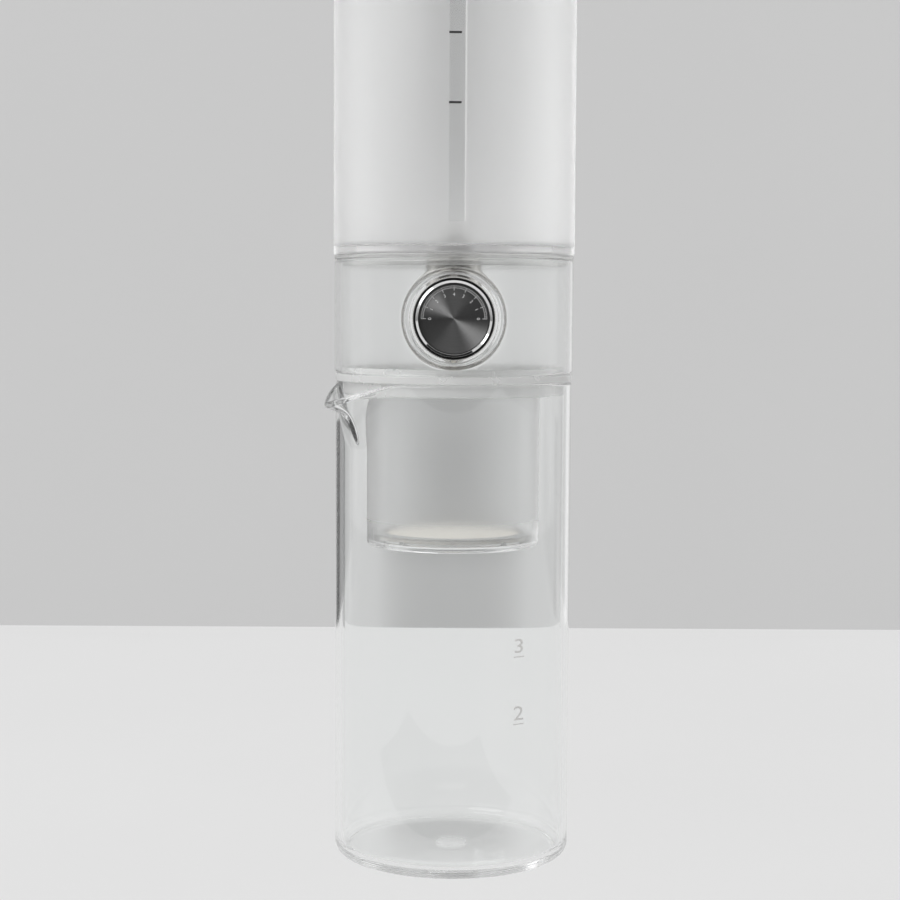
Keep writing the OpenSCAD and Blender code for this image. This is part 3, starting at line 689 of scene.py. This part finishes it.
tick_turn = math.degrees(TICK_X / TANK_R)
tank_shapes = [(*bar(4.2, 0.75, INK_THICK), (tick_turn, z)) for z in TICKS]
tank_marks = printed("tank_ticks", tank_shapes, on_wall(TANK_R), ink("black_ink", (0.02,) * 3, 0.03))
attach(tank_marks, "tank_unit")


# ---- Lid ----
# A pressed glass lid with a solid grip. A finned silicone ring round its plug holds it in the tank, and a
# small hole lets air in as the water drips out.

RIM_Z, LID_CORE, GRIP_R, VENT_X, VENT_R = 348.03, 37.2, 9.0, 22.0, 1.5
PLUG_DEEP, PLATE_T, NECK_R, NECK_TOP, GRIP_FOOT, GRIP_TOP = 8, 3, 5.4, 8, 10.5, 15  # heights from the rim
LID_TURNS, VENT_TURNS, VENT_BAND = 224, 14, np.arange(14.0, 31.0, 2.0)


def vented_lid():
    """The lid's profile turned about Z, with a window left out of its top and its underside round the vent:
    VENT_TURNS steps to each side, over the radii of VENT_BAND. A patch along rays from the window's edge
    to the hole fills each window, and the two patches meet in the hole's wall."""
    low, high = RIM_Z - PLUG_DEEP, RIM_Z + PLATE_T
    turn = 2 * np.pi * np.arange(LID_TURNS) / LID_TURNS
    outside = eased([
        (VENT_BAND[-1], low, 0), (LID_CORE, low, 0.8), (LID_CORE, RIM_Z, 0.2), (TANK_R, RIM_Z, 1.4),
        (TANK_R, high, 1.4), (VENT_BAND[-1], high, 0)], 8)
    grip = eased([
        (VENT_BAND[0], high, 0), (NECK_R, high, 1.2), (NECK_R, RIM_Z + NECK_TOP, 1.0),
        (GRIP_R, RIM_Z + GRIP_FOOT, 1.6), (GRIP_R, RIM_Z + GRIP_TOP, 2.4), (0, RIM_Z + GRIP_TOP, 0)], 8)
    under = np.array([[0, low], [7, low], [VENT_BAND[0], low]])
    rest = turn[VENT_TURNS:LID_TURNS - VENT_TURNS + 1]
    near = 2 * np.pi * np.arange(-VENT_TURNS, VENT_TURNS + 1) / LID_TURNS
    side = np.full(len(VENT_BAND) - 1, near[-1])
    t = np.concatenate([near[:-1], side, near[:0:-1], -side])
    r = np.concatenate([np.full(len(near) - 1, VENT_BAND[-1]), VENT_BAND[:0:-1],
                        np.full(len(near) - 1, VENT_BAND[0]), VENT_BAND[:-1]])
    edge = np.stack([r * np.cos(t), r * np.sin(t)], -1)
    ray = edge - [VENT_X, 0]
    ray /= np.hypot(ray[:, 0], ray[:, 1])[:, None]
    hole = np.array([[2.0, 0], [0.5, 0], [0.25, 0], [0.08, 0.08], [0, 0.25], [0, 0.8]])
    skins = []
    for level, sign in ((high, -1), (low, 1)):
        flat = [edge] + [[VENT_X, 0] + ray * (VENT_R + out) for out in hole[:, 0]]
        height = [level] + list(level + sign * hole[:, 1])
        skins.append([np.column_stack([row, np.full(len(t), z)]) for row, z in zip(flat, height)])
    patch = np.stack(skins[0] + skins[1][::-1])
    bands = [around(np.stack([VENT_BAND, np.full(len(VENT_BAND), z)], -1), rest) for z in (low, high)]
    return [(around(under, turn), True), (around(outside, turn), True), (around(grip, turn), True),
            (patch, True), (bands[0], False), (bands[1], False)]


def give(material, *names):
    """Puts the material on CAD nodes whose shape is right as it is."""
    for name in names:
        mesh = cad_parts[name].data
        mesh.materials.clear()
        mesh.materials.append(material)


lid_body = weld("lid_pressed", vented_lid(), clear_glass("lid_glass", 1))
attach(lid_body, "lid")
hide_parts("lid")
give(soft_clear, "lid_seal")


# ---- Drip valve ----
# Turned stainless steel: a polished barrel under the tank with a shank up through its floor, a nut and a
# slotted cap inside, and a plug that turns in the boss behind the knob. Silicone washers seal the floor.


def steel(name, colour, rough, turned_along):
    """Turned and polished steel: fine lathe lines, close together along the axis it was turned on."""
    material, nodes, shader = finish_of(name, colour, rough, Metallic=1.0)
    lines = grain(nodes, turned_along, 900, detail=4)
    cloud = grain(nodes, (1, 1, 1), 60, detail=3)
    surface(shader, (cloud, tuple(c * 0.88 for c in colour), colour),
            (lines, rough * 0.7, rough * 1.35), (lines, 0.25, 0.02))
    return material


def rubber(name, colour, rough):
    """Moulded rubber or plastic: dull, with a fine moulded skin."""
    material, nodes, shader = finish_of(name, colour, rough)
    skin = grain(nodes, (1, 1, 1), 700, detail=3)
    surface(shader, (skin, tuple(c * 0.8 for c in colour), colour),
            (skin, rough * 0.9, min(1, rough * 1.15)), (skin, 0.3, 0.03))
    return material


give(steel("steel_upright", (0.56, 0.55, 0.53), 0.09, (1, 1, 14)), "valve_body", "drip_nozzle")
give(steel("steel_inlet", (0.88, 0.88, 0.87), 0.3, (1, 1, 14)), "inlet_nut", "inlet_strainer")
give(steel("steel_forward", (0.60, 0.59, 0.57), 0.2, (1, 14, 1)), "valve_plug", "bonnet_nut")
give(soft_clear, "lower_washer", "upper_washer")
give(rubber("black_rubber", (0.035, 0.035, 0.035), 0.6), "plug_o_rings", "nozzle_o_ring")
give(rubber("white_plastic", (0.86, 0.86, 0.84), 0.45), "thrust_washer")


# ---- Knob ----
# A turned steel knob with a straight knurl. Its front chamfer is painted near black, a painted dark
# reflection of its polished edge. A bright ring with one sloping face is pressed into it round the dial.

KNOB_R, TEETH, TOOTH, KNOB_BACK, KNOB_FRONT, CORE_R = 14.2, 108, 0.35, 41.0, 49.8, 13.675
POCKET, BEZEL_R, BEZEL_IN, CROWN = 48.2, 12.8, 11.95, 50.7
STEM_BORE, STEM_END, FLAT_OUT, FLAT_IN = 3.05, 45.4, 13.3, 12.85


def facing(grid):
    """Turns a grid made about Z so that its axis is the knob's, with its z forward."""
    return np.stack([grid[..., 0], -grid[..., 2], grid[..., 1] + KNOB_Z], -1)


def knurled():
    """The knob's profile turned round. In the knurled band the radius falls by the tooth's depth between
    teeth: r - depth (1 - cos(teeth t)) / 2, sharpened by a power."""
    profile = np.concatenate([
        [[0, STEM_END], [STEM_BORE, STEM_END], [STEM_BORE, KNOB_BACK + 0.1], [3.2, KNOB_BACK]],
        [[KNOB_R - 0.9, KNOB_BACK], [KNOB_R - 0.5, KNOB_BACK + 0.05], [KNOB_R, KNOB_BACK + 0.5]],
        [[KNOB_R, KNOB_BACK + 1], [KNOB_R, KNOB_FRONT - 1.6], [KNOB_R, KNOB_FRONT - 1.2]],
        [[KNOB_R - 0.25, KNOB_FRONT - 0.93], [CORE_R, KNOB_FRONT - 0.88], [CORE_R - 0.05, KNOB_FRONT - 0.8]],
        [[FLAT_OUT, KNOB_FRONT - 0.08], [13.2, KNOB_FRONT], [12.95, KNOB_FRONT]],
        [[FLAT_IN, KNOB_FRONT - 0.1], [FLAT_IN, POCKET], [6, POCKET], [0, POCKET]]])
    grid = turned(profile, TEETH * 8, wraps=False)
    t = np.linspace(0, 2 * np.pi, TEETH * 8, endpoint=False)
    fall = TOOTH * ((1 - np.cos(TEETH * t)) / 2) ** 0.7
    band = (profile[:, 0] > 13.9) & (profile[:, 1] < KNOB_FRONT - 0.9)
    r = np.hypot(grid[..., 0], grid[..., 1])
    scale = np.where(band[:, None], (r - fall) / np.maximum(r, 1), 1)
    return facing(grid * np.stack([scale, scale, np.ones_like(scale)], -1))


def painted_dark_chamfer_steel(name):
    """The knob's steel, with its front chamfer painted near black as a painted dark reflection: told by the
    distance forward.
    """
    material, nodes, shader = finish_of(name, (0.45, 0.44, 0.43), 0.25, Metallic=1.0)
    _, y, _ = position(nodes)
    # The last millimetre in front is painted near black: a painted dark reflection of the polished chamfer.
    front = step_from(y, -(KNOB_FRONT - 1.0) / 1000, -(KNOB_FRONT - 0.8) / 1000, smooth=False)
    lines = grain(nodes, (1, 10, 1), 800, detail=3)
    surface(shader, (front, (0.80, 0.79, 0.77), (0.012,) * 3),
            (lines, 0.2, 0.38), (lines, 0.25, 0.02))
    return material


knob = weld("knob_knurled", [(knurled(), True)], painted_dark_chamfer_steel("knob_steel"))
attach(knob, "knob")
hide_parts("knob_body")

bezel = weld("knob_bezel_turned", [(facing(turned(eased([
    (BEZEL_IN, POCKET, 0), (BEZEL_R, POCKET, 0), (BEZEL_R, CROWN - 0.55, 0.1), (BEZEL_IN, CROWN, 0.06)]),
    240)), True)], steel("bright_chrome", (0.86, 0.86, 0.86), 0.07, (1, 10, 1)))
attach(bezel, "knob")
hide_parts("knob_bezel")
give(steel("screw_steel", (0.32, 0.32, 0.32), 0.35, (12, 1, 1)), "knob_screw")


# ---- Dial ----
# A disc of dark anodised aluminium, faced on a lathe so that its grain runs in circles. The scale is cut
# and filled with pale ink: 0 1 2 3 4 3 2 1 0 over half a turn, with fine ticks between.

DIAL_R, DIAL_BACK, DIAL_FACE = 11.9, 48.2, 49.1
FIGURE_R, FIGURE_SIZE, TICK_IN, TICK_OUT, MINOR_IN = 8.1, 1.55, 9.4, 11.0, 10.25


def spun(name):
    """Faced dark metal: rings in object space by distance from the dial's axis, and gloss spread along
    the radius, square to the grain's direction in the polar map."""
    material, nodes, shader = finish_of(
        name, (0.16,) * 3, 0.5, Metallic=1.0, Anisotropic=0.96, Anisotropic_Rotation=0.25)
    place = nodes.new("ShaderNodeTexCoord")
    mapping = nodes.new("ShaderNodeMapping")
    mapping.inputs["Location"].default_value = (0, 0, -KNOB_Z / 1000)
    mapping.inputs["Scale"].default_value = (1, 0, 1)
    distance = nodes.new("ShaderNodeVectorMath")
    distance.operation = "LENGTH"
    link(place.outputs["Object"], mapping.inputs["Vector"])
    link(mapping.outputs["Vector"], distance.inputs["Vector"])
    rings = nodes.new("ShaderNodeTexNoise")
    rings.noise_dimensions = "1D"
    rings.inputs["Scale"].default_value = 5200
    rings.inputs["Detail"].default_value = 3
    link(distance.outputs["Value"], rings.inputs["W"])
    ring = rings.outputs["Fac"]
    surface(shader, (ring, (0.07,) * 3, (0.15,) * 3), (ring, 0.42, 0.56), (ring, 0.2, 0.01))
    along = nodes.new("ShaderNodeTangent")
    along.direction_type = "UV_MAP"
    along.uv_map = "polar"
    link(along.outputs["Tangent"], shader.inputs["Tangent"])
    return material


share = np.linspace(0, 1, 40)
face = np.stack([DIAL_R * 0.985 * share, DIAL_FACE - 0.12 * np.exp(-(share / 0.025) ** 2)], -1)
dial_profile = np.concatenate([
    face, [[DIAL_R, DIAL_FACE - 0.15], [DIAL_R, DIAL_BACK + 0.05]],
    [[DIAL_R - 0.05, DIAL_BACK], [0, DIAL_BACK]]])
dial = weld("dial_faced", [(facing(turned(dial_profile, 240, wraps=False)), True)], spun("spun_dark"))
corners = values(dial.data.loops, "vertex_index", 1, np.int32)[:, 0]
spots = values(dial.data.vertices, "co")[corners] - [0, 0, KNOB_Z / 1000]
turns = np.arctan2(spots[:, 2], spots[:, 0]) / (2 * np.pi)
counts = values(dial.data.polygons, "loop_total", 1, np.int32)[:, 0]
face_of = np.repeat(np.arange(len(counts)), counts)
top_turn = np.full(len(counts), -9.0)
np.maximum.at(top_turn, face_of, turns)
turns = np.where(top_turn[face_of] - turns > 0.5, turns + 1, turns)  # a face across the seam stays whole
polar = dial.data.uv_layers.new(name="polar")
outward = np.hypot(spots[:, 0], spots[:, 2]) * 1000 / DIAL_R
polar.data.foreach_set("uv", np.stack([turns, outward], -1).astype(np.float32).ravel())
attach(dial, "knob")
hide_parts("dial_plate")


def on_dial(points, angle, radius):
    """Puts points (across, up, out) on the dial's face at that radius, with up pointing outwards. The
    angle is in degrees clockwise from the top."""
    a = math.radians(angle)
    across, up = points[:, 0], points[:, 1] + radius
    x, z = up * math.sin(a) + across * math.cos(a), up * math.cos(a) - across * math.sin(a)
    return np.stack([x, -(DIAL_FACE + INK_THICK / 2 + points[:, 2]), z + KNOB_Z], -1)


def arc_line(radius, width, thick, start, end, steps):
    """A thin flat line round the dial, from one angle to another: a ribbon with four edges, bent round."""
    near, far, z = radius - width / 2, radius + width / 2, thick / 2
    ring = ((near, -z), (far, -z), (far, z), (near, z))
    return ribbon([[(r * np.sin(a), r * np.cos(a), height) for r, height in ring]
                   for a in np.radians(np.linspace(start, end, steps))])


scale = [(*lettering(str(4 - abs(k)), FIGURE_SIZE, INK_THICK), (22.5 * k, FIGURE_R)) for k in range(-4, 5)]
for step, wide, inner, places in ((22.5, 0.16, TICK_IN, range(-4, 5)),
                                  (2.25, 0.08, MINOR_IN, [k for k in range(-40, 41) if k % 10])):
    tick = bar(wide, TICK_OUT - inner, INK_THICK, 2)
    scale += [(*tick, (step * k, (inner + TICK_OUT) / 2)) for k in places]
scale += [(*arc_line(r, 0.09, INK_THICK, -90, 90, 61), (0, 0)) for r in (MINOR_IN, TICK_OUT)]
dial_print = printed("dial_scale", scale, on_dial, ink("pale_ink", (0.62,) * 3, 0.12))
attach(dial_print, "knob")


# ---- Table and backdrop ----
# A plain pale table top that runs back to a plain grey wall. Part of their tone is the paint's own colour at
# an even level for what the camera, glass and metal see, so that the glass shows a pale table under it.

# For rays through glass the wall also carries painted light towards its sides and a painted shadow of the
# object.
WALL_Y, TABLE_Z, EVEN = 0.49, -0.0002, 0.75


def seen(nodes):
    """1 for rays from the camera, from gloss or through glass, and 0 for light on a dull surface."""
    path = nodes.new("ShaderNodeLightPath").outputs
    reckon = reckoner(nodes)
    plain = reckon("MAXIMUM", path["Is Camera Ray"], path["Is Glossy Ray"])
    return reckon("MAXIMUM", plain, path["Is Transmission Ray"])


def quad(name, corners, material):
    """A flat piece through four corners in metres."""
    mesh = bpy.data.meshes.new(name)
    mesh.from_pydata(corners, [], [(0, 1, 2, 3)])
    mesh.materials.append(material)
    return put(name, mesh)


def lying(left, right, near, far, z):
    """Corners of a piece that lies flat at a height, in metres."""
    return [(x, y, z) for x, y in ((left, near), (right, near), (right, far), (left, far))]


def upright(left, right, foot, head, y):
    """Corners of an upright piece that faces the front, in metres."""
    return [(x, y, z) for x, z in ((left, foot), (right, foot), (right, head), (left, head))]


def plane(name, corners, paint, tone, left=0.0, right=0.0, shade=0.0):
    """A flat quad through four corners in metres, in matt paint with faint mottling, mixed with its even
    tone for rays that see it. For rays through glass alone the tone carries painted light and shade: painted
    light grows by the shares left and right towards the sides, and a painted shadow of the object falls by
    the share shade close behind it, most of all behind the chamber, with painted light behind the collar.
    From the back the quad is clear, so that the object can be seen from behind the wall."""
    material, nodes, shader = finish_of(name + "_paint", (paint,) * 3, 0.9)
    cloud = grain(nodes, (1, 1, 1), 6, detail=4)
    link(tint(cloud, (paint * 0.97,) * 3, (paint,) * 3), shader.inputs["Base Color"])
    even = nodes.new("ShaderNodeEmission")
    link(tint(cloud, (tone * 0.97,) * 3, (tone,) * 3), even.inputs["Color"])
    x, _, z = position(nodes)
    reckon = reckoner(nodes)
    # Painted light: for rays through glass the wall grows lighter towards the left and right.
    sides = reckon("ADD", step_from(x, -1.2, -0.29, left, 0.0), step_from(x, 0.29, 1.2, 0.0, right))
    # Painted shadow of the object close behind it: deepest behind the chamber, less near the table and behind
    # the tank, and turned to painted light behind the collar.
    low = reckon("MULTIPLY", step_from(z, 0.03, 0.08, 0.45, 1.0), step_from(z, 0.13, 0.17, 1.0, -0.5))
    high = reckon("ADD", low, step_from(z, 0.22, 0.27, 0.0, 1.2))
    near = reckon("MULTIPLY", step_from(reckon("MULTIPLY", x, x), 0.0, 0.0055, shade, 0.0), high)
    unseen = reckon("SUBTRACT", 1.0, nodes.new("ShaderNodeLightPath").outputs["Is Camera Ray"])
    painted_light_and_shade = reckon("MULTIPLY", reckon("SUBTRACT", sides, near), unseen)
    link(reckon("ADD", painted_light_and_shade, 1.0), even.inputs["Strength"])
    blend = nodes.new("ShaderNodeMixShader")
    link(between(seen(nodes), 0.0, EVEN), blend.inputs["Fac"])
    link(shader.outputs["BSDF"], blend.inputs[1])
    link(even.outputs["Emission"], blend.inputs[2])
    one_way = nodes.new("ShaderNodeMixShader")
    link(nodes.new("ShaderNodeNewGeometry").outputs["Backfacing"], one_way.inputs["Fac"])
    link(blend.outputs["Shader"], one_way.inputs[1])
    link(nodes.new("ShaderNodeBsdfTransparent").outputs["BSDF"], one_way.inputs[2])
    link(one_way.outputs["Shader"], nodes["Material Output"].inputs["Surface"])
    piece = quad(name, corners, material)


plane("table", lying(-3, 3, -3, WALL_Y, TABLE_Z), 0.82, 0.81)
# Its last three values are the painted light to the left and right and the painted shadow behind the object.
plane("wall", upright(-3, 3, TABLE_Z, 2.4, WALL_Y), 0.61, 0.61, 0.5, 0.8, 0.8)


# ---- Light ----
# A soft window from the upper left in front, a wide pale one at each side, small ones for the tank, the
# chamber, the knob and the dial alone, and an even room that is darker behind the camera. Cards that only
# gloss and glass see give the edges of the glass their lines.

CARD_Y, CARD_Z = WALL_Y - 0.03, 0.002
KNOB_AT = (0, -0.05, 0.19)


def window(name, at, towards, size, bright, *pieces, how="INCLUDE"):
    """A rectangular soft light at a place in metres, turned towards a point. Its power is its brightness
    times pi times its area. Its light is kept to the pieces that are named, or off them: EXCLUDE."""
    lamp = bpy.data.lights.new(name, "AREA")
    lamp.shape = "RECTANGLE"
    lamp.size, lamp.size_y = size
    lamp.energy = bright * math.pi * size[0] * size[1]
    source = put(name, lamp)
    source.location = at
    source.visible_camera = False
    source.rotation_euler = (Vector(towards) - Vector(at)).to_track_quat("-Z", "Y").to_euler()
    if pieces:
        linked = bpy.data.collections.new(name + "_linked")
        source.light_linking.receiver_collection = linked
        for piece in pieces:
            linked.objects.link(piece)
        for each in linked.collection_objects:
            each.light_linking.link_state = how


def card(name, corners, tone, through_glass):
    """A flat card through four corners in metres, of an even tone, that lights nothing. Gloss sees it, and
    so do rays through glass if it is said."""
    material, _, shader = finish_of(name + "_tone", (0, 0, 0), 0.9, Emission_Strength=1.0)
    shader.inputs["Emission Color"].default_value = (tone, tone, tone, 1)
    piece = quad(name, corners, material)
    piece.visible_camera = piece.visible_diffuse = piece.visible_shadow = False
    piece.visible_transmission = through_glass


window("window_front", (-1.1, -1.15, 1.1), (0, 0, 0.2), (1.2, 1.2), 2.3)
for x in (-0.9, 0.9):
    window("window_side", (x, 0, 0.5), (0, 0, 0.25), (0.9, 1.1), 0.35, dial, how="EXCLUDE")
for x, width, bright in ((-0.2, 0.25, 0.8), (0.2, 0.25, 0.7), (-0.5, 0.5, 0.2), (0.5, 0.5, 0.2)):
    window("window_tank", (x, 0.46, 0.3), (0, 0, 0.3), (width, 0.7), bright, tank)
for x, bright in ((-0.2, 0.2), (0.2, 0.6)):
    window("window_chamber", (x, 0.45, 0.12), (0, 0, 0.12), (0.2, 0.25), bright, chamber)
window("window_low", (0.23, -0.18, 0.03), KNOB_AT, (0.1, 0.1), 2.5, bezel, knob)
window("window_dial", (-1.0, -1.1, 1.0), KNOB_AT, (0.8, 0.8), 14, dial)
window("window_above", (0.2, -0.6, 1.0), KNOB_AT, (0.8, 0.5), 3, dial)
card("card_left", upright(-0.30, -0.19, 0.0, 0.127, CARD_Y), 0.01, True)
card("card_far_left", upright(-0.9, -0.31, 0.0, 0.15, CARD_Y), 0.35, True)
card("card_right", upright(0.215, 0.30, 0.0, 0.7, CARD_Y), 1.0, True)
card("card_under", lying(-0.20, 0.11, -0.24, -0.085, CARD_Z), 0.01, False)

world = bpy.data.worlds.new("room")
bpy.context.scene.world = world
world.use_nodes = True
nodes = world.node_tree.nodes
x, y, z = position(nodes, "Generated")
reckon = reckoner(nodes)
aside = reckon("ABSOLUTE", x)
forward = reckon("MULTIPLY_ADD", aside, -0.35, reckon("MULTIPLY_ADD", reckon("ABSOLUTE", z), 0.9, y))
level = nodes.new("ShaderNodeMix")
level.inputs["A"].default_value = 0.65  # the room's light on dull surfaces
link(seen(nodes), level.inputs["Factor"])
link(step_from(aside, 0.3, 0.95, 0.75, 1.2), level.inputs["B"])  # lighter to the sides
gloss = nodes.new("ShaderNodeMix")
link(nodes.new("ShaderNodeLightPath").outputs["Is Glossy Ray"], gloss.inputs["Factor"])
link(level.outputs["Result"], gloss.inputs["A"])
link(step_from(forward, -1.0, 0.1, 0.12, 0.85), gloss.inputs["B"])  # darker behind the camera
nodes["Background"].inputs["Color"].default_value = (1, 1, 1, 1)
link(gloss.outputs["Result"], nodes["Background"].inputs["Strength"])

# Light runs down inside a wall of glass, from skin to skin, for a long way before it comes out at an edge.
paths = bpy.context.scene.cycles
paths.max_bounces = paths.transmission_bounces = paths.glossy_bounces = 256


# ---- Camera ----
# Fitted to the edges of the glass and the ellipses of its rims: 697 mm from the axis, 197 mm up.

CAMERA_AT, LENS, PITCH, ROLL = (-0.0011, -0.6969, 0.19733), 77.564, 4.219, 0.303

camera = put("camera", bpy.data.cameras.new("camera"))
camera.data.lens, camera.data.sensor_width = LENS, 36
camera.matrix_world = (Matrix.Translation(CAMERA_AT) @ Matrix.Rotation(math.radians(90 - PITCH), 4, "X")
                       @ Matrix.Rotation(math.radians(ROLL), 4, "Z"))
bpy.context.scene.camera = camera
bpy.context.scene.view_settings.view_transform = "Standard"
